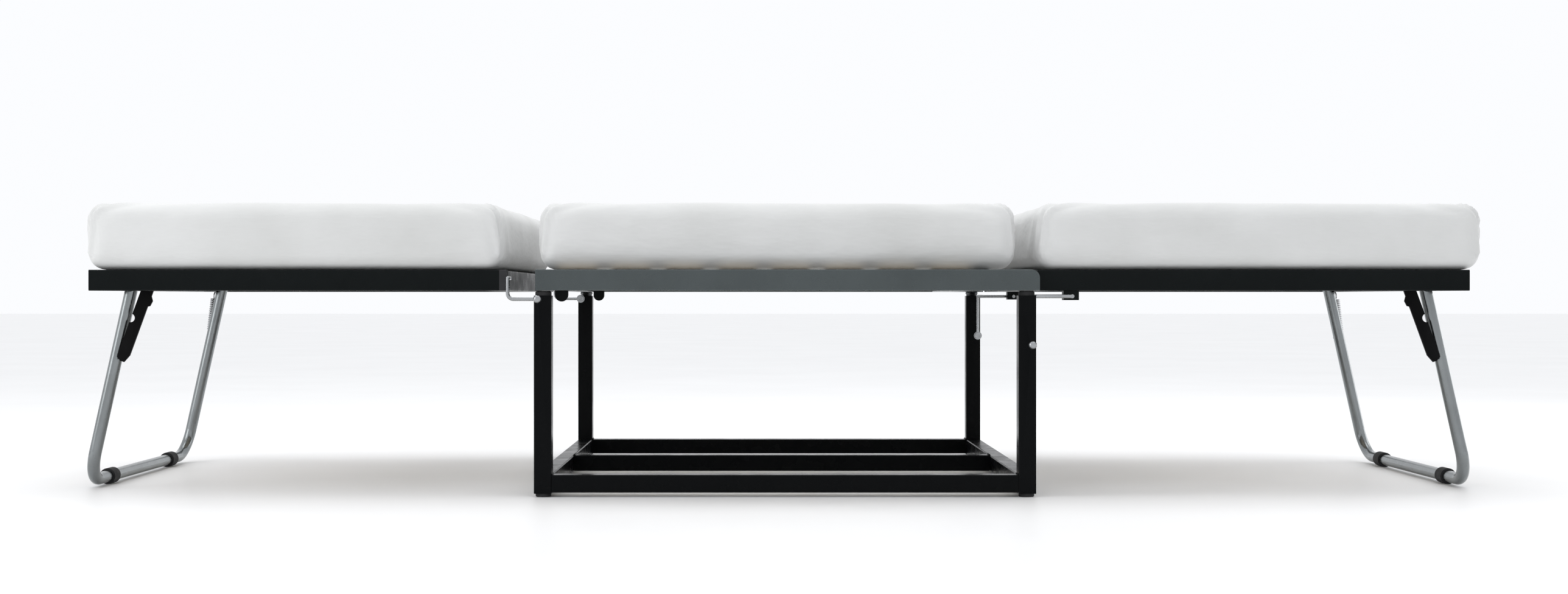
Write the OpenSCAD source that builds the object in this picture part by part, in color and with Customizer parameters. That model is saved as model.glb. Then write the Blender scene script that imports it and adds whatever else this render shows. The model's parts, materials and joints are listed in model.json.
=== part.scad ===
// Folding cot: a square-tube cage carries a lift-up centre deck, and a hinged
// leaf with a fold-down leg hoop stands out at each end. X runs along the bed,
// Y across it and Z up, with the origin on the floor under the cage's centre.

/* [Base cage] */
// Outside length of the cage along the bed
cage_l = 710; // [700:1:730]
// Outside depth of the cage across the bed
cage_d = 720; // [700:1:740]
// Side of the square tube
tube_w = 25; // [24:0.5:26]
// Wall thickness of every square tube
wall = 1.5; // [1.2:0.1:2]
// Height of the top of the legs
leg_top = 285; // [284:0.5:286]
// Height of the underside of the bottom rails
rail_low = 6.5; // [6:0.5:9]

/* [Decks] */
// Height of the underside of the decks
deck_low = 292; // [291.5:0.5:293]
// Height of a deck's side rail
deck_h = 30; // [29:0.5:31]
// Outside width of a leaf across the bed
leaf_d = 654; // [648:1:654]
// Number of slats in the centre deck
deck_slats_n = 8; // [6:1:9]
// Number of slats in each leaf
leaf_slats_n = 7; // [5:1:7]
// Width of a slat
slat_w = 56; // [40:1:60]

/* [Leg hoops] */
// Distance between the two tubes of a hoop, centre to centre
hoop_w = 490; // [470:1:490]
// Outside diameter of the hoop tube
hoop_tube = 18; // [16:0.5:18]
// Bend radius of the hoop's lower corners
hoop_bend = 45; // [35:1:55]
// Outward lean of an open hoop in degrees
hoop_lean = 12.5; // [10:0.5:13]

/* [Mattress] */
// Height of the top of the mattress
mattress_top = 417; // [400:1:440]
// Width of the mattress across the bed
mattress_d = 660; // [640:1:664]

/* [Hidden] */
$fn = 48;

black = "#17181a";
charcoal = "#26282b";
grey = "#6f7275";
steel = "#a9abad";
zinc = "#d5d7d9";
rubber = "#0d0d0e";
beech = "#c79f6c";
linen = "#f2f2ef";

left = -1;
right = 1;
corner_r = 2;                         // outside corner of a square tube
leg_x = (cage_l - tube_w) / 2;        // centre of a leg along the bed
leg_y = (cage_d - tube_w) / 2;        // centre of a leg across the bed
glide_h = 5;
rail_z = rail_low + tube_w / 2;
gap = 0.3;                            // clearance between moving bodies

pivot_x = 350;                        // leaf pivot bolts
pivot_z = [280, 215];                 // left and right bolt heights
bolt_r = 3;
eye_r = 7;
rod_r = 2.75;
rod_y = 332;                          // plane of the link rods
run_fit = 0.05;                       // radial clearance of a running fit

deck_ends = [-353, 360];              // ends of the centre deck's rails
deck_z = deck_low + deck_h / 2;
deck_inner = cage_d / 2 - tube_w;     // inner face of the deck's side rails
cross_right = 282;                    // centre of the right cross rail
slat_t = 8;
slat_z = deck_low + deck_h - slat_t;  // underside of the slats
ledge_t = 3;
ledge_w = 12;

hinge_y = cage_d / 2 + 4;             // axis of the lid hinge at the back
hinge_z = 290;
knuckle_r = 4;
hinge_pin_r = 2;

leaf_inner_y = leaf_d / 2 - tube_w;   // inner face of a leaf's side rails
block_l = 10;                         // end block beyond the left side rails
hoop_inset = 37;                      // hoop pivot, in from the leaf's end
hoop_z = 300;                         // height of the hoop pivot
hoop_foot = 12;                       // height of the ground bar's centre
hoop_len = (hoop_z - hoop_foot) / cos(hoop_lean);
pin_r = 4;

stay_in = 66;                         // stay pivot, in from the leaf's end
stay_lean = 20;
stay_w = 17.5;
stay_len = 118;
stay_y = -258.5;                      // middle plane of the stays
plate_t = 3;

spring_y = 262;
stud_down = 89;                       // stud, down the tube from its pivot
spring_r = 6.35;
spring_wire = 1;
spring_turns = 17;

function leaf_out(s) = s == left ? 995 : 979;
function leaf_in(s) = s == left ? 408 : 361;
function hoop_x(s) = leaf_out(s) - hoop_inset;

// ---- shared shapes ----------------------------------------------------

// A rectangle with round corners, centred
module round_rect(w, h, r) {
  square([w - 2 * r, h], center = true);
  square([w, h - 2 * r], center = true);
  for (x = [-1, 1], y = [-1, 1])
    translate([x * (w / 2 - r), y * (h / 2 - r)]) circle(r);
}

module tube_section(w, h) {
  difference() {
    round_rect(w, h, corner_r);
    square([w - 2 * wall, h - 2 * wall], center = true);
  }
}

// Square tubes along X, Y and Z, between two ends, about a centre line
module bar_x(x0, x1, y, z, w = tube_w, h = tube_w)
  translate([x0, y, z]) rotate([90, 0, 90])
    linear_extrude(x1 - x0) tube_section(w, h);

module bar_y(y0, y1, x, z, w = tube_w, h = tube_w)
  translate([x, y0, z]) rotate([-90, 0, 0])
    linear_extrude(y1 - y0) tube_section(w, h);

module bar_z(z0, z1, x, y)
  translate([x, y, z0]) linear_extrude(z1 - z0) tube_section(tube_w, tube_w);

// A round bar along Y
module pin_y(y0, y1, r, x = 0, z = 0)
  translate([x, y0, z]) rotate([-90, 0, 0]) cylinder(h = y1 - y0, r = r);

// A round bar between two points
module rod(a, b, r) {
  d = b - a;
  turn = atan2(d[1], d[0]);
  tilt = acos(d[2] / norm(d));
  translate(a) rotate([0, tilt, turn]) cylinder(h = norm(d), r = r);
}

// A plate in the XZ plane, centred on plane y
module plate_y(y, t) translate([0, y, 0]) rotate([90, 0, 0])
  linear_extrude(t, center = true) children();

// Turns the geometry of the +X end into that of either end
module at_end(s) mirror([s == left ? 1 : 0, 0, 0]) children();

// Slats across the bed, evenly spaced, with their ends between two rails
module slat_row(x0, x1, n, half) {
  step = (x1 - x0 - slat_w) / (n - 1);
  for (i = [0 : n - 1])
    translate([x0 + i * step, -half + gap, slat_z])
      translate([slat_w / 2, half - gap, slat_t / 2])
        rotate([90, 0, 0]) linear_extrude(2 * (half - gap), center = true)
          round_rect(slat_w, slat_t, 2);
}

// ---- base cage --------------------------------------------------------

// A leg, drilled for the bolt that its leaf swings on
module leg(sx, sy) color(black) difference() {
  bar_z(glide_h, leg_top, sx * leg_x, sy * leg_y);
  pin_y(-cage_d, cage_d, bolt_r + 0.02, sx * pivot_x,
        pivot_z[sx == left ? 0 : 1]);
}

module long_bottom_rail(y) color(black)
  bar_x(-cage_l / 2 + tube_w, cage_l / 2 - tube_w, y, rail_z);

module side_bottom_rail(sx) color(black)
  bar_y(-deck_inner, deck_inner, sx * leg_x, rail_z);

// Moulded glides with stems that plug into the legs
module foot_glides() color(rubber)
  for (sx = [-1, 1], sy = [-1, 1])
    translate([sx * leg_x, sy * leg_y, 0]) {
      cylinder(h = 1.2, r1 = 10, r2 = 11);
      translate([0, 0, 1.2]) cylinder(h = glide_h - 1.2, r = 11);
      translate([0, 0, glide_h]) cylinder(h = 14, r = 8);
    }

// Bumpers on the leg tops: broad cups in front, narrow posts behind
module deck_bumpers() color(rubber)
  for (sx = [-1, 1], sy = [-1, 1])
    translate([sx * leg_x, sy * leg_y, leg_top]) {
      r = sy < 0 ? 11.5 : 5;
      body_h = 4.7;
      stem_h = 1.5;  // stops short of the pivot bolt below it
      translate([0, 0, -stem_h]) cylinder(h = stem_h, r = sy < 0 ? 8 : 4.5);
      cylinder(h = body_h, r = r);
      translate([0, 0, body_h])
        cylinder(h = deck_low - gap - leg_top - body_h, r1 = r, r2 = r - 2);
    }

// Bolts through the legs, with a nut inside each link rod's eye. The front
// ones have domed heads; the back ones end flush, under the lid's hinges.
module pivot_bolts() color(zinc)
  for (s = [left, right], sy = [-1, 1])
    translate([s * pivot_x, 0, pivot_z[s == left ? 0 : 1]])
      mirror([0, sy > 0 ? 1 : 0, 0]) {
        pin_y(-cage_d / 2, -326, bolt_r);
        pin_y(-329, -325.5, 5.5);
        if (sy < 0) intersection() {
          translate([0, -cage_d / 2 + 2.6, 0]) sphere(6.4);
          pin_y(-cage_d / 2 - 5, -cage_d / 2, 6.4);
        }
      }

// The fixed and the lifting half of each lid hinge
module hinge_half(lifting) color(steel)
  for (s = [-1, 1]) translate([s * leg_x, hinge_y, hinge_z]) {
    cuts = lifting ? [[-12, -3.4], [3.4, 12]] : [[-3.7, 3.7]];
    reach = lifting ? 24 : -24;
    difference() {
      union() {
        rotate([0, 90, 0]) cylinder(h = 19, r = knuckle_r, center = true);
        translate([-9.5, -knuckle_r, min(0, reach)])
          cube([19, 2, abs(reach)]);
      }
      for (c = cuts) translate([c[0], 0, 0]) rotate([0, 90, 0])
        cylinder(h = c[1] - c[0], r = knuckle_r + 0.5);
      rotate([0, 90, 0])
        cylinder(h = 40, r = hinge_pin_r + (lifting ? run_fit : 0.01),
                 center = true);
    }
  }

module deck_hinge_pins() color(zinc)
  for (s = [-1, 1]) translate([s * leg_x, hinge_y, hinge_z])
    rotate([0, 90, 0]) cylinder(h = 21, r = hinge_pin_r, center = true);

// ---- centre deck ------------------------------------------------------

// A side rail with a slat ledge, round at the top of its right-hand end
module deck_side_rail(sy) color(grey) {
  round_end = 12;
  intersection() {
    bar_x(deck_ends[0], deck_ends[1], sy * leg_y, deck_z, tube_w, deck_h);
    plate_y(sy * leg_y, tube_w + 2) {
      translate([deck_ends[0], deck_low])
        square([deck_ends[1] - deck_ends[0] - round_end, deck_h]);
      translate([deck_ends[0], deck_low])
        square([deck_ends[1] - deck_ends[0], deck_h - round_end]);
      translate([deck_ends[1] - round_end, deck_low + deck_h - round_end])
        circle(round_end);
    }
  }
  translate([deck_ends[0] + tube_w,
             sy > 0 ? deck_inner - ledge_w : -deck_inner, slat_z - ledge_t])
    cube([cross_right - tube_w / 2 - deck_ends[0] - tube_w,
          ledge_w, ledge_t]);
}

module deck_cross_rail(x) color(grey)
  bar_y(-deck_inner, deck_inner, x, deck_z, tube_w, deck_h);

module deck_slats() color(beech)
  slat_row(deck_ends[0] + tube_w + 4, cross_right - tube_w / 2 - 4,
           deck_slats_n, deck_inner);

// Round-ended tabs that guide the lid down between the left-hand legs
module deck_tabs() color(charcoal)
  for (sy = [-1, 1]) plate_y(sy * (deck_inner - 1.8), plate_t)
    translate([-318, 286]) {
      circle(9.5);
      translate([-9.5, 0]) square([19, 16]);
    }

// ---- leaves -----------------------------------------------------------

module leaf_side_rail(s, sy) color(charcoal) at_end(s) {
  bar_x(leaf_in(s), leaf_out(s), sy * (leaf_d - tube_w) / 2, deck_z,
        tube_w, deck_h);
  translate([leaf_in(s) + tube_w,
             sy > 0 ? leaf_inner_y - ledge_w : -leaf_inner_y,
             slat_z - ledge_t])
    cube([leaf_out(s) - leaf_in(s) - 2 * tube_w, ledge_w, ledge_t]);
}

module leaf_cross_rail(s, x) color(charcoal) at_end(s)
  bar_y(-leaf_inner_y, leaf_inner_y, x, deck_z, tube_w, deck_h);

module leaf_slats(s) color(beech) at_end(s)
  slat_row(leaf_in(s) + tube_w + 4, leaf_out(s) - tube_w - 4,
           leaf_slats_n, leaf_inner_y);

module left_leaf_end_blocks() color(rubber) at_end(left)
  for (sy = [-1, 1])
    translate([leaf_in(left) - block_l / 2, sy * (leaf_d - tube_w) / 2, deck_z])
      rotate([90, 0, 90])
        linear_extrude(block_l, center = true)
          round_rect(tube_w, deck_h, corner_r);

// A rod's eyes round their two bolts, with the bars that leave them
module eye_rods(s) color(zinc) at_end(s)
  for (sy = [-1, 1]) mirror([0, sy > 0 ? 1 : 0, 0]) difference() {
    union() {
      pin_y(-rod_y - 2.6, -rod_y + 2.6, eye_r, pivot_x,
            pivot_z[s == left ? 0 : 1]);
      children();
    }
    pin_y(-cage_d, 0, bolt_r + run_fit, pivot_x, pivot_z[s == left ? 0 : 1]);
  }

// A quarter bend of the rod in the XZ plane, starting at angle a0
module rod_elbow(x, z, a0) translate([x, -rod_y, z]) rotate([90, 0, 0])
  rotate([0, 0, a0]) rotate_extrude(angle = 90)
    translate([rod_bend, 0]) circle(rod_line);

rod_bend = 8;
rod_line = rod_r - 0.1;
left_rod_x = leaf_in(left) - block_l - rod_r;
left_rod_top = 310;
module left_link_rods() eye_rods(left) {
  rod([pivot_x + 5, -rod_y, pivot_z[0]],
      [left_rod_x - rod_bend, -rod_y, pivot_z[0]], rod_line);
  rod_elbow(left_rod_x - rod_bend, pivot_z[0] + rod_bend, -90);
  rod([left_rod_x, -rod_y, pivot_z[0] + rod_bend],
      [left_rod_x, -rod_y, left_rod_top], rod_line);
  translate([left_rod_x, -rod_y, left_rod_top]) sphere(rod_r);
  pin_y(-rod_y, -306, rod_line, left_rod_x, left_rod_top);
}

clip_x = 410;
clip_z = 284;
module right_link_rods() eye_rods(right) {
  rod([pivot_x, -rod_y, pivot_z[1] + 5], [pivot_x, -rod_y, clip_z], rod_line);
  rod([pivot_x - 2.9, -rod_y, clip_z], [clip_x, -rod_y, clip_z],
      rod_line + 0.05);
  pin_y(-rod_y - rod_r, -304, rod_r, clip_x, clip_z);
}

// Strap clips under the leaf that hold the ends of the right rods
module right_rod_clips() color(charcoal)
  for (sy = [-1, 1]) translate([clip_x, sy * 316, 0]) difference() {
    translate([-11, -8, clip_z - 5.5]) cube([22, 16, deck_low - clip_z + 5.5]);
    pin_y(-20, 20, rod_r + 0.01, 0, clip_z);
  }

// Ears on the outer rail that carry the hoop's pivot pins
module hoop_tabs(s) color(charcoal) at_end(s)
  for (sy = [-1, 1]) plate_y(sy * 256.2, plate_t)
    translate([hoop_x(s), hoop_z]) difference() {
      union() {
        circle(9);
        translate([0, -8]) square([hoop_inset - tube_w, 16]);
      }
      circle(pin_r + 0.02);
    }

// Two hoop pins and one stay pin, welded to the leaf's side rails
module pivot_pins(s) color(zinc) at_end(s) {
  for (sy = [-1, 1]) mirror([0, sy > 0 ? 1 : 0, 0])
    pin_y(-leaf_inner_y, -hoop_w / 2 + 11, pin_r, hoop_x(s), hoop_z);
  pin_y(-leaf_inner_y, stay_y + 3, pin_r, leaf_out(s) - stay_in, hoop_z);
}

// ---- leg hoops --------------------------------------------------------

// A U of round tube hanging from its pivot, with its bar at the bottom
module hoop_shape(r) {
  side = hoop_len - hoop_bend;
  for (sy = [-1, 1]) {
    translate([0, sy * hoop_w / 2, -side]) cylinder(h = side, r = r);
    translate([0, sy * hoop_w / 2, 0]) sphere(r);
    translate([0, sy * (hoop_w / 2 - hoop_bend), -side])
      rotate([90, 0, 90]) rotate([0, 0, sy > 0 ? -90 : 180])
        rotate_extrude(angle = 90) translate([hoop_bend, 0]) circle(r);
  }
  translate([0, 0, -hoop_len])
    pin_y(-hoop_w / 2 + hoop_bend, hoop_w / 2 - hoop_bend, r);
}

// Puts a hoop's own frame at its pivot and leans it outwards
module at_hoop(s) at_end(s) translate([hoop_x(s), 0, hoop_z])
  rotate([0, -hoop_lean, 0]) children();

module leg_hoop(s) color(steel) at_hoop(s) difference() {
  hoop_shape(hoop_tube / 2);
  hoop_shape(hoop_tube / 2 - wall);
  pin_y(-hoop_w, hoop_w, pin_r + run_fit);
}

module hoop_pads(s) color(rubber) at_hoop(s)
  for (sy = [-1, 1]) translate([0, 0, -hoop_len]) difference() {
    pin_y(sy * 150 - 13, sy * 150 + 13, hoop_foot);
    pin_y(-hoop_w, hoop_w, hoop_tube / 2);
  }

// Ball-ended stud on the back tube that holds the lower end of the spring
module spring_stud(s) color(zinc) at_hoop(s) translate([0, 0, -stud_down]) {
  pin_y(hoop_w / 2 + hoop_tube / 2 - 0.4, spring_y + 3, 2.5);
  translate([0, spring_y + 4, 0]) sphere(4);
}

// A flat latch bar with a half-round notch, hung from its own pin
module stay(s) color(black) at_end(s)
  translate([leaf_out(s) - stay_in, 0, hoop_z]) rotate([0, -stay_lean, 0])
    plate_y(stay_y, plate_t) difference() {
      union() {
        circle(stay_w / 2);
        polygon([[-stay_w / 2, 0], [-stay_w / 2, -stay_len + 12],
                 [-4, -stay_len], [2, -stay_len], [stay_w / 2, -stay_len + 4],
                 [stay_w / 2, 0]]);
        polygon([[0, -14], [-stay_w / 2, -14], [-stay_w / 2 - 4, -20],
                 [-stay_w / 2 - 3, -28], [-stay_w / 2, -30], [0, -30]]);
      }
      circle(pin_r + run_fit);
      translate([stay_w / 2 + 0.5, -54]) circle(6.3);
    }

// ---- springs ----------------------------------------------------------

coil_steps = 10;                      // rings in each turn of the wire
wire_sides = 5;
spring_hook = 5;                      // room for the hook at each end

function wire_point(a, h, b) =
  let (r = spring_r + spring_wire * cos(b))
    [r * cos(a), r * sin(a), h + spring_wire * sin(b)];

// A helix of round wire, h high, standing on its lower end
module coil(h) {
  rings = spring_turns * coil_steps;
  ring = [for (k = [0 : wire_sides - 1]) k];
  polyhedron(
    points = [for (i = [0 : rings], k = ring)
      wire_point(i * 360 / coil_steps, h * i / rings, -k * 360 / wire_sides)],
    faces = concat(
      [[for (k = ring) wire_sides - 1 - k]],
      [for (i = [0 : rings - 1], k = ring) let (
        n = (k + 1) % wire_sides, a = i * wire_sides, b = a + wire_sides)
        [a + k, a + n, b + n, b + k]],
      [[for (k = ring) rings * wire_sides + k]]));
}

// The extension spring between the outer rail and the stud
module spring(s) color(zinc) at_end(s) {
  upper = [leaf_out(s) - 19, spring_y, deck_low - 1.2];
  foot = [hoop_x(s) + stud_down * sin(hoop_lean) + 6, spring_y,
          hoop_z - stud_down * cos(hoop_lean) + 4.5];
  span = norm(upper - foot);
  lean = atan((foot[0] - upper[0]) / (upper[2] - foot[2]));
  translate(foot) rotate([0, -lean, 0])
    translate([0, 0, spring_hook]) coil(span - 2 * spring_hook);
}

// ---- mattress ---------------------------------------------------------

// One section of the mattress, soft at its corners and edges
module mattress(x0, x1) color(linen) {
  low = deck_low + deck_h + gap;
  h = mattress_top - low;
  intersection() {
    translate([(x0 + x1) / 2, 0, low])
      linear_extrude(h) round_rect(x1 - x0, mattress_d, 30);
    plate_y(0, mattress_d + 2) translate([(x0 + x1) / 2, low + h / 2])
      round_rect(x1 - x0, h, 18);
  }
}

leg(-1, -1);  // front_left_leg
leg(1, -1);  // front_right_leg
leg(-1, 1);  // back_left_leg
leg(1, 1);  // back_right_leg
long_bottom_rail(-leg_y);  // front_bottom_rail
long_bottom_rail(leg_y);  // back_bottom_rail
long_bottom_rail(0);  // middle_bottom_rail
side_bottom_rail(-1);  // left_bottom_rail
side_bottom_rail(1);  // right_bottom_rail
foot_glides();
deck_bumpers();
pivot_bolts();
hinge_half(false);  // deck_hinge_lower
deck_hinge_pins();
deck_side_rail(-1);  // deck_front_rail
deck_side_rail(1);  // deck_back_rail
deck_cross_rail(deck_ends[0] + tube_w / 2);  // deck_left_cross_rail
deck_cross_rail(cross_right);  // deck_right_cross_rail
deck_slats();
deck_tabs();
hinge_half(true);  // deck_hinge_upper
mattress(-351, 330);  // mattress_centre
leaf_side_rail(left, -1);  // left_leaf_front_rail
leaf_side_rail(left, 1);  // left_leaf_back_rail
leaf_cross_rail(left, leaf_out(left) - tube_w / 2);  // left_leaf_outer_rail
leaf_cross_rail(left, leaf_in(left) + tube_w / 2);  // left_leaf_inner_rail
left_leaf_end_blocks();
leaf_slats(left);  // left_leaf_slats
left_link_rods();
hoop_tabs(left);  // left_hoop_tabs
pivot_pins(left);  // left_pivot_pins
mattress(-1000, -404);  // mattress_left
leg_hoop(left);  // left_leg_hoop
hoop_pads(left);  // left_hoop_pads
spring_stud(left);  // left_spring_stud
stay(left);  // left_stay
spring(left);  // left_spring
leaf_side_rail(right, -1);  // right_leaf_front_rail
leaf_side_rail(right, 1);  // right_leaf_back_rail
leaf_cross_rail(right, leaf_out(right) - tube_w / 2);  // right_leaf_outer_rail
leaf_cross_rail(right, leaf_in(right) + tube_w / 2);  // right_leaf_inner_rail
right_link_rods();
right_rod_clips();
leaf_slats(right);  // right_leaf_slats
hoop_tabs(right);  // right_hoop_tabs
pivot_pins(right);  // right_pivot_pins
mattress(362, 998);  // mattress_right
leg_hoop(right);  // right_leg_hoop
hoop_pads(right);  // right_hoop_pads
spring_stud(right);  // right_spring_stud
stay(right);  // right_stay
spring(right);  // right_spring
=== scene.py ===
"""Folding cot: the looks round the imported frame.

Finishes on the CAD parts, mattress sections, springs, weld beads, studio and camera. Lengths are in metres.
"""
import json
import math

import bpy
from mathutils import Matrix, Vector, noise


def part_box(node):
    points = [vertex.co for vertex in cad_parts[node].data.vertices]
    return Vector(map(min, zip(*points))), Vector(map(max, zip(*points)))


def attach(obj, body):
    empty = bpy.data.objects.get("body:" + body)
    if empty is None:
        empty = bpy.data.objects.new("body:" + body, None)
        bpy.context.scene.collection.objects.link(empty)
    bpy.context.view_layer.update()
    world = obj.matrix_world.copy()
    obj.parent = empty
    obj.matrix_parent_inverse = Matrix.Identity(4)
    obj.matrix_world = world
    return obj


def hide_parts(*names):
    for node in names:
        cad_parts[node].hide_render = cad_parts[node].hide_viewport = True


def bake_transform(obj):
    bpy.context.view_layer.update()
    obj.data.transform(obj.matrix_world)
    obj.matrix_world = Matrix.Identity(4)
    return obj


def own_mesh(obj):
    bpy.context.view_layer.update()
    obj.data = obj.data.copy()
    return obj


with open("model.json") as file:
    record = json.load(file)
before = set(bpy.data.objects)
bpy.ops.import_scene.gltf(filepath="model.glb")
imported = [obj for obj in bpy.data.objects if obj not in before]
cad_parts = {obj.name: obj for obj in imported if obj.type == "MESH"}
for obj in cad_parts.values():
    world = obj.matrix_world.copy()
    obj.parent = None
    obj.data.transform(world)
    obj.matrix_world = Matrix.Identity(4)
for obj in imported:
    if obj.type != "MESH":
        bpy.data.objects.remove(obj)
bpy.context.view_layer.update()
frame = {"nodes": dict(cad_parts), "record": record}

ACROSS = Vector((0, 1, 0))

# ---- camera and studio ----
CAMERA_AT = Vector((-0.041, -3.14, 0.283))
LENS = 45.2  # millimetres
SHIFT_X = 0.017857  # sideways shift, as a share of the picture's width
SKY = (0.97, 0.98, 1.0, 1)
SKY_STRENGTH = 1.0
FLOOR_SIZE = 60


def camera():
    data = bpy.data.cameras.new("camera")
    data.lens = LENS
    data.shift_x = SHIFT_X
    cam = bpy.data.objects.new("camera", data)
    bpy.context.collection.objects.link(cam)
    cam.location = CAMERA_AT
    cam.rotation_euler = (math.pi / 2, 0, 0)
    bpy.context.scene.camera = cam


def area_light(name, at, look_at, size, power):
    data = bpy.data.lights.new(name, "AREA")
    data.shape = "RECTANGLE"
    data.size, data.size_y = size
    data.energy = power
    light = bpy.data.objects.new(name, data)
    bpy.context.collection.objects.link(light)
    light.location = at
    light.rotation_euler = (Vector(look_at) - Vector(at)).to_track_quat("-Z", "Y").to_euler()


def studio():
    world = bpy.data.worlds.new("studio")
    world.use_nodes = True
    background = world.node_tree.nodes["Background"]
    background.inputs["Color"].default_value = SKY
    background.inputs["Strength"].default_value = SKY_STRENGTH
    bpy.context.scene.world = world
    bpy.context.scene.view_settings.view_transform = "Standard"
    # each light's name, place, aim, size and power in watts
    area_light("overhead", (0, 0.2, 2.6), (0, 0, 0.2), (3.6, 1.6), 26)
    area_light("left_window", (-2.6, -1.2, 1.1), (-0.3, 0, 0.25), (1.2, 1.8), 14)
    area_light("right_window", (2.7, 0.9, 0.9), (0.4, 0, 0.25), (1.0, 1.6), 10)
    bpy.ops.mesh.primitive_plane_add(size=FLOOR_SIZE, location=(0, 0, 0))
    floor = bpy.context.object
    floor.name = "studio_floor"
    floor.data.materials.append(floor_finish())


# ---- materials ----
NOISE_LOW, NOISE_HIGH = 0.3, 0.7  # nearly all of a noise's values lie between these
EDGE_START, EDGE_END = 0.60, 0.72  # pointiness where an edge starts to wear, and where it is fully worn
EDGE_WEAR = 0.5  # the most that the worn colour shows
WEAVE = 420  # scale of the cotton's thread waves


def shader(name, **sockets):
    """A new material with its Principled shader's own sockets set."""
    material = bpy.data.materials.new(name)
    material.use_nodes = True
    principled = material.node_tree.nodes["Principled BSDF"]
    for socket, value in sockets.items():
        principled.inputs[socket.replace("_", " ")].default_value = value
    return material, principled


def add(material, kind, **values):
    node = material.node_tree.nodes.new(kind)
    for key, value in values.items():
        if key in node.inputs:
            node.inputs[key].default_value = value
        else:
            setattr(node, key, value)
    return node


def join(material, out, into):
    material.node_tree.links.new(out, into)


def grain(material, scale, stretch=(1, 1, 1), detail=4.0, roughness=0.55):
    """Noise in the object's own space, in cycles a metre, drawn out along an axis by stretch."""
    place = add(material, "ShaderNodeTexCoord")
    mapping = add(material, "ShaderNodeMapping", Scale=stretch)
    tex = add(material, "ShaderNodeTexNoise", Scale=scale, Detail=detail, Roughness=roughness)
    join(material, place.outputs["Object"], mapping.inputs["Vector"])
    join(material, mapping.outputs["Vector"], tex.inputs["Vector"])
    return tex.outputs["Fac"]


def ramp(material, fac, low, high, start=NOISE_LOW, end=NOISE_HIGH):
    """Colour that runs from low to high as fac goes from start to end."""
    node = add(material, "ShaderNodeValToRGB")
    first, last = node.color_ramp.elements
    first.position, first.color = start, (*low, 1)
    last.position, last.color = end, (*high, 1)
    join(material, fac, node.inputs["Fac"])
    return node.outputs["Color"]


def between(material, fac, low, high):
    """Number that runs from low to high over a noise's values."""
    node = add(material, "ShaderNodeMapRange")
    limits = {"From Min": NOISE_LOW, "From Max": NOISE_HIGH, "To Min": low, "To Max": high}
    for socket, value in limits.items():
        node.inputs[socket].default_value = value
    join(material, fac, node.inputs["Value"])
    return node.outputs["Result"]


def bump(material, height, strength, distance, below=None):
    node = add(material, "ShaderNodeBump", Strength=strength, Distance=distance)
    join(material, height, node.inputs["Height"])
    if below is not None:
        join(material, below, node.inputs["Normal"])
    return node.outputs["Normal"]


def shades(colour, spread):
    """A darker and a lighter shade of a colour."""
    return [c * (1 - spread) for c in colour], [min(1, c * (1 + spread)) for c in colour]


def worn_edges(material, colour, worn):
    """Colour that turns to the worn colour on sharp convex edges."""
    geometry = add(material, "ShaderNodeNewGeometry")
    edge = ramp(material, geometry.outputs["Pointiness"], (0, 0, 0), (EDGE_WEAR,) * 3, EDGE_START, EDGE_END)
    mix = add(material, "ShaderNodeMix", data_type="RGBA")
    patch = add(material, "ShaderNodeMath", operation="MULTIPLY")
    join(material, edge, patch.inputs[0])
    join(material, grain(material, 60), patch.inputs[1])
    join(material, patch.outputs["Value"], mix.inputs["Factor"])
    join(material, colour, mix.inputs["A"])
    mix.inputs["B"].default_value = (*worn, 1)
    return mix.outputs["Result"]


def coated_steel(name, colour, rough, metallic):
    """Satin powder coat: orange peel, uneven gloss, and rubbed edges."""
    m, p = shader(name, Metallic=metallic, Specular_IOR_Level=0.06)
    low, high = shades(colour, 0.10)
    tint = ramp(m, grain(m, 9), low, high)
    rubbed = [min(1, c * 2 + 0.02) for c in colour]
    join(m, worn_edges(m, tint, rubbed), p.inputs["Base Color"])
    join(m, between(m, grain(m, 28, detail=6), rough - 0.06, rough + 0.07), p.inputs["Roughness"])
    join(m, bump(m, grain(m, 700, detail=2), 0.10, 0.0004), p.inputs["Normal"])
    return m


def drawn_steel(name, colour, rough, stretch, bright=False):
    """Bare steel with fine lines along the draw, or bright plated steel with an even grain."""
    m, p = shader(name, Metallic=1.0, Anisotropic=0.0 if bright else 0.35)
    low, high = shades(colour, 0.12)
    join(m, ramp(m, grain(m, 14), low, high), p.inputs["Base Color"])
    lines = grain(m, 1, stretch, detail=3)
    join(m, between(m, lines, rough - 0.05, rough + 0.09), p.inputs["Roughness"])
    join(m, bump(m, lines, 0.08, 0.0003), p.inputs["Normal"])
    return m


def moulded(name, colour, rough, pebble):
    """Rubber or plastic with a pebbled surface."""
    m, p = shader(name, Specular_IOR_Level=0.35)
    low, high = shades(colour, 0.25)
    join(m, ramp(m, grain(m, 35), low, high), p.inputs["Base Color"])
    join(m, between(m, grain(m, 90), rough - 0.08, rough + 0.08), p.inputs["Roughness"])
    join(m, bump(m, grain(m, pebble, detail=2), 0.25, 0.0004), p.inputs["Normal"])
    return m


def beech(name):
    """Pale lacquered wood, its figure and pores drawn out along Y."""
    m, p = shader(name, Coat_Weight=0.3, Coat_Roughness=0.3)
    figure = grain(m, 3, (22, 1.1, 22), detail=8, roughness=0.62)
    join(m, ramp(m, figure, (0.50, 0.42, 0.31), (0.68, 0.60, 0.48)), p.inputs["Base Color"])
    pores = grain(m, 40, (20, 1.5, 20), detail=3)
    join(m, between(m, pores, 0.36, 0.52), p.inputs["Roughness"])
    join(m, bump(m, pores, 0.18, 0.0004), p.inputs["Normal"])
    return m


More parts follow.
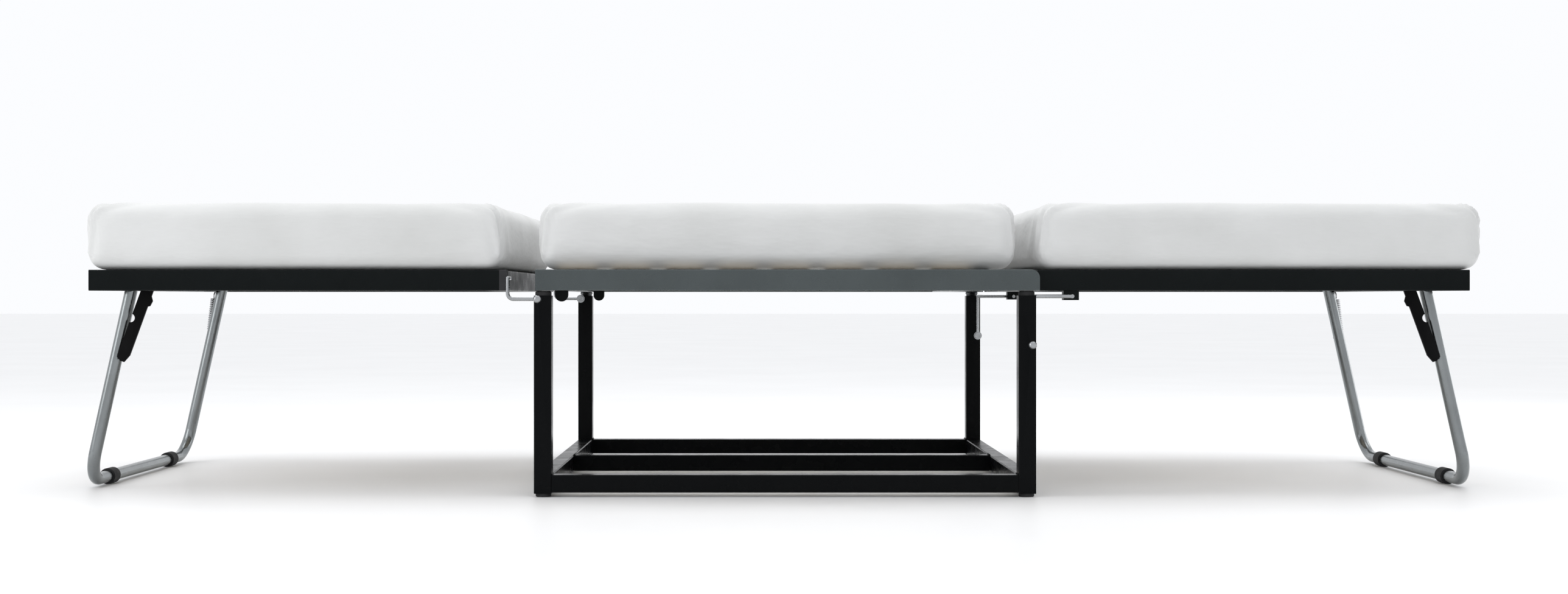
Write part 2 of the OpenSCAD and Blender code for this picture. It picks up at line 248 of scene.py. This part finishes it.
def cotton(name):
    """White percale: a fine two-way weave, soft creases and a little sheen."""
    m, p = shader(name, Sheen_Weight=0.35, Sheen_Roughness=0.4, Specular_IOR_Level=0.2)
    join(m, ramp(m, grain(m, 5), (0.60, 0.605, 0.595), (0.68, 0.685, 0.68)), p.inputs["Base Color"])
    join(m, between(m, grain(m, 240), 0.78, 0.92), p.inputs["Roughness"])
    place = add(m, "ShaderNodeTexCoord")
    weave = add(m, "ShaderNodeMath", operation="ADD")
    for slot, direction in enumerate(("X", "Y")):
        thread = add(m, "ShaderNodeTexWave", Scale=WEAVE, Distortion=0.6, bands_direction=direction)
        join(m, place.outputs["Object"], thread.inputs["Vector"])
        join(m, thread.outputs["Fac"], weave.inputs[slot])
    cloth = bump(m, weave.outputs["Value"], 0.12, 0.0003)
    creases = bump(m, grain(m, 11, (1, 1, 2.4), detail=3), 0.5, 0.006, cloth)
    join(m, creases, p.inputs["Normal"])
    return m


def floor_finish():
    m, p = shader("floor", Specular_IOR_Level=0.25)
    join(m, ramp(m, grain(m, 2), (0.89, 0.89, 0.89), (0.92, 0.92, 0.92)), p.inputs["Base Color"])
    join(m, between(m, grain(m, 6), 0.42, 0.5), p.inputs["Roughness"])
    return m


# grain stretched along an axis, or the same every way, in cycles a metre
ALONG_X, ALONG_Z, EVEN = (8, 900, 900), (900, 900, 8), (300, 300, 300)
FINISHES = {
    "cage_black": coated_steel("cage_black", (0.0016, 0.0020, 0.0024), 0.26, 0.0),
    "deck_grey": coated_steel("deck_grey", (0.080, 0.092, 0.094), 0.27, 0.75),
    "leaf_charcoal": coated_steel("leaf_charcoal", (0.0045, 0.0060, 0.0062), 0.28, 0.0),
    "stay_black": coated_steel("stay_black", (0.0025, 0.0025, 0.0028), 0.34, 0.0),
    "hoop_steel": drawn_steel("hoop_steel", (0.23, 0.245, 0.25), 0.20, ALONG_Z),
    "hinge_steel": drawn_steel("hinge_steel", (0.42, 0.43, 0.44), 0.34, ALONG_X),
    "zinc": drawn_steel("zinc", (0.36, 0.37, 0.38), 0.22, EVEN, bright=True),
    "rubber": moulded("rubber", (0.014, 0.014, 0.015), 0.72, 420),
    "end_plastic": moulded("end_plastic", (0.018, 0.018, 0.020), 0.48, 900),
    "slat_wood": beech("slat_wood"),
    "sheet_cotton": cotton("sheet_cotton"),
}


def finish_cad_nodes():
    """Gives every CAD node the finish of its material slot in the record."""
    for part in frame["record"]["subparts"]:
        obj = frame["nodes"][part["node"]]
        obj.data.materials.clear()
        obj.data.materials.append(FINISHES[part["material_slot"]])


def new_piece(name, verts, faces, slot):
    mesh = bpy.data.meshes.new(name)
    mesh.from_pydata([tuple(v) for v in verts], [], faces)
    mesh.validate()
    for face in mesh.polygons:
        face.use_smooth = True
    mesh.materials.append(FINISHES[slot])
    obj = bpy.data.objects.new(name, mesh)
    bpy.context.collection.objects.link(obj)
    return obj


# ---- mattress ----
EDGE_R = 0.024  # radius of the rounded edges
EDGE_CUTS = (0, 0.14, 0.3, 0.5, 0.75, 1)  # where an edge is cut, as shares of its radius
CELL = 0.011  # spacing of the cuts between the edges
CROWN = 0.004  # rise of the top's middle
BELLY = 0.003  # swell of each side's middle
CREASE_RATE = 17  # radians of wave a radian of the fan at a corner
CREASE_DEPTH = 0.0026
CREASE_REACH = 0.10  # how far from a corner its creases run before they die away
RUMPLE_DEPTH = 0.0018  # soft unevenness all over the sheet
UNDERSIDE = -0.2  # outward slope below which the sheet is left smooth


def steps(length):
    """Places along one side of the block, closer together round its two edges."""
    edge = [EDGE_R * share for share in EDGE_CUTS]
    count = max(2, round((length - 2 * EDGE_R) / CELL))
    middle = [EDGE_R + (length - 2 * EDGE_R) * i / count for i in range(1, count)]
    return edge + middle + [length - e for e in reversed(edge)]


def block_shell(sizes):
    """Vertices and outward faces of a box whose sides are cut at the places steps() gives."""
    cuts = [steps(s) for s in sizes]
    index, verts, faces = {}, [], []

    def corner(ijk):
        if ijk not in index:
            index[ijk] = len(verts)
            verts.append(Vector(cuts[a][ijk[a]] for a in range(3)))
        return index[ijk]

    for axis in range(3):
        u, v = (axis + 1) % 3, (axis + 2) % 3
        for end in (0, len(cuts[axis]) - 1):
            for i in range(len(cuts[u]) - 1):
                for j in range(len(cuts[v]) - 1):
                    ring = []
                    for di, dj in ((0, 0), (1, 0), (1, 1), (0, 1)):
                        ijk = [0, 0, 0]
                        ijk[axis], ijk[u], ijk[v] = end, i + di, j + dj
                        ring.append(corner(tuple(ijk)))
                    faces.append(ring if end else ring[::-1])
    return verts, faces


def sheeted(p, size):
    """Moves a point of the square block on to the sheeted mattress."""
    core = Vector(min(max(p[a], EDGE_R), size[a] - EDGE_R) for a in range(3))
    out = (p - core).normalized() if (p - core).length > 1e-9 else Vector((0, 0, 0))
    p = core + out * EDGE_R
    u, v, w = (2 * p[a] / size[a] - 1 for a in range(3))
    rim = (1 - w * w) if abs(w) < 1 else 0
    # the sides belly a little between the corners, and the top is crowned
    p = p + Vector((out.x * (1 - v * v), out.y * (1 - u * u), 0)) * BELLY * rim
    if out.z > 0:
        p.z += CROWN * (1 - u ** 4) * (1 - v ** 4) * out.z
    if out.z > UNDERSIDE:
        # the sheet pulls from its corners, so its creases fan out from them and die away
        side = min(p.x, size.x - p.x), min(p.y, size.y - p.y)
        away = math.hypot(*side)
        fan = math.atan2(side[1] + 0.01, side[0] + 0.01 + 0.4 * (size.z - p.z))
        pull = math.exp(-away / CREASE_REACH) * math.sin(fan * CREASE_RATE + noise.noise(p * 9) * 2)
        soft = noise.noise(Vector((p.x * 4, p.y * 4, p.z * 12))) + 0.5 * noise.noise(p * 17)
        p = p + out * (CREASE_DEPTH * pull + RUMPLE_DEPTH * soft)
    return p


def mattress_section(node, body):
    """The sheeted section that stands for a mattress solid, and rides on its body."""
    low, high = (Vector(v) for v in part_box(node))
    size = high - low
    verts, faces = block_shell(size)
    piece = new_piece(node + "_sheeted", [low + sheeted(p, size) for p in verts], faces, "sheet_cotton")
    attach(piece, body)
    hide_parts(node)
    return piece


# ---- springs ----
WIRE_R = 0.001
TURNS = 17
STEPS_A_TURN = 20
WIRE_SIDES = 8
HOOK_R = 0.0058
HOOK_TURN = 240  # degrees
HOOK_STEPS = 8
HOOK_OFF = 0.001  # from the rail's underside down to one end, and from the stud's middle up to the other


def wire(points, radius, sides=WIRE_SIDES):
    """Vertices and faces of a round closed-ended wire along a list of points."""
    verts, faces = [], []
    ahead = (points[1] - points[0]).normalized()
    side = ahead.orthogonal().normalized()
    for i, point in enumerate(points):
        before, after = points[max(i - 1, 0)], points[min(i + 1, len(points) - 1)]
        ahead = (after - before).normalized()
        side = (side - ahead * side.dot(ahead)).normalized()
        up = ahead.cross(side)
        for k in range(sides):
            a = 2 * math.pi * k / sides
            verts.append(point + (side * math.cos(a) + up * math.sin(a)) * radius)
    for i in range(len(points) - 1):
        for k in range(sides):
            n, a, b = (k + 1) % sides, i * sides, (i + 1) * sides
            faces.append([a + k, a + n, b + n, b + k])
    last = (len(points) - 1) * sides
    faces.append(list(range(sides))[::-1])
    faces.append([last + k for k in range(sides)])
    return verts, faces


def spring_route(top, foot, radius):
    """The coils and the two end hooks of an extension spring."""
    down = (foot - top).normalized()
    side = ACROSS
    front = down.cross(side)
    points = []
    for i in range(HOOK_STEPS + 1):  # the upper hook, two thirds of a loop
        a = math.radians(-150 + HOOK_TURN * i / HOOK_STEPS)
        points.append(top + down * (HOOK_R * 0.9 - math.cos(a) * HOOK_R) + side * math.sin(a) * HOOK_R)
    length = (foot - top).length - 4 * HOOK_R
    for i in range(TURNS * STEPS_A_TURN + 1):
        a = math.pi / 2 + 2 * math.pi * i / STEPS_A_TURN
        along = 2 * HOOK_R + length * i / (TURNS * STEPS_A_TURN)
        points.append(top + down * along + (side * math.sin(a) + front * math.cos(a)) * radius)
    for i in range(HOOK_STEPS + 1):  # the lower hook, at the stud
        a = math.radians(90 - HOOK_TURN * i / HOOK_STEPS)
        points.append(foot - down * (HOOK_R * 0.9 + math.cos(a) * HOOK_R) + side * math.sin(a) * HOOK_R)
    return points


def spring(end, sign):
    """One end's spring, from its leaf's outer rail to the stud on its hoop.

    sign is 1 at the right end and -1 at the left.
    """
    low, high = (Vector(v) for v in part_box(end + "_spring"))
    stud_low, stud_high = (Vector(v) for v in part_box(end + "_spring_stud"))
    rail_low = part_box(end + "_leaf_outer_rail")[0][2]
    radius = (high.y - low.y) / 2 - WIRE_R
    middle_y = (low.y + high.y) / 2
    inner = low.x if sign > 0 else high.x
    outer = high.x if sign > 0 else low.x
    top = Vector((inner + sign * radius, middle_y, rail_low - HOOK_OFF))
    foot = Vector((outer - sign * radius, middle_y, (stud_low.z + stud_high.z) / 2 + HOOK_OFF))
    piece = new_piece(end + "_spring_wire", *wire(spring_route(top, foot, radius), WIRE_R), "zinc")
    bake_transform(piece)
    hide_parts(end + "_spring")


# ---- weld beads ----
BEAD_R = 0.0016
BEAD_SIDES = 10
BEAD_STEPS = 14
BEAD_INSET = 0.002  # from each end of the joint to the bead
RIPPLE = 0.28  # the ripples' height, as a share of the radius
RIPPLE_PITCH = 2.1  # radians of ripple a step


def bead(a, b, phase):
    """A rippled run of weld between two points."""
    route = [a.lerp(b, i / BEAD_STEPS) for i in range(BEAD_STEPS + 1)]
    verts, faces = wire(route, BEAD_R, BEAD_SIDES)
    rings = [i // BEAD_SIDES for i in range(len(verts))]
    centre = [route[ring] for ring in rings]
    ripple = [1 + RIPPLE * math.sin(ring * RIPPLE_PITCH + phase) for ring in rings]
    return [c + (v - c) * r for v, c, r in zip(verts, centre, ripple)], faces


def weld_beads():
    """Beads across the tops of the bottom rails, where they meet the legs and each other."""
    verts, faces = [], []
    runs = []
    for row in ("front", "back", "middle"):
        low, high = (Vector(v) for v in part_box(row + "_bottom_rail"))
        for x in (low.x, high.x):
            runs.append((Vector((x, low.y + BEAD_INSET, high.z)), Vector((x, high.y - BEAD_INSET, high.z))))
    for side in ("left", "right"):
        low, high = (Vector(v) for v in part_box(side + "_bottom_rail"))
        for y in (low.y, high.y):
            runs.append((Vector((low.x + BEAD_INSET, y, high.z)), Vector((high.x - BEAD_INSET, y, high.z))))
    for phase, (a, b) in enumerate(runs):
        v, f = bead(a, b, phase)
        faces += [[i + len(verts) for i in face] for face in f]
        verts += v
    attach(new_piece("weld_beads", verts, faces, "cage_black"), "base")


camera()
studio()
finish_cad_nodes()
mattress_section("mattress_centre", "deck")
mattress_section("mattress_left", "left_leaf")
squeezed = mattress_section("mattress_right", "right_leaf")
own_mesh(squeezed)
spring("left", -1)
spring("right", 1)
weld_beads()
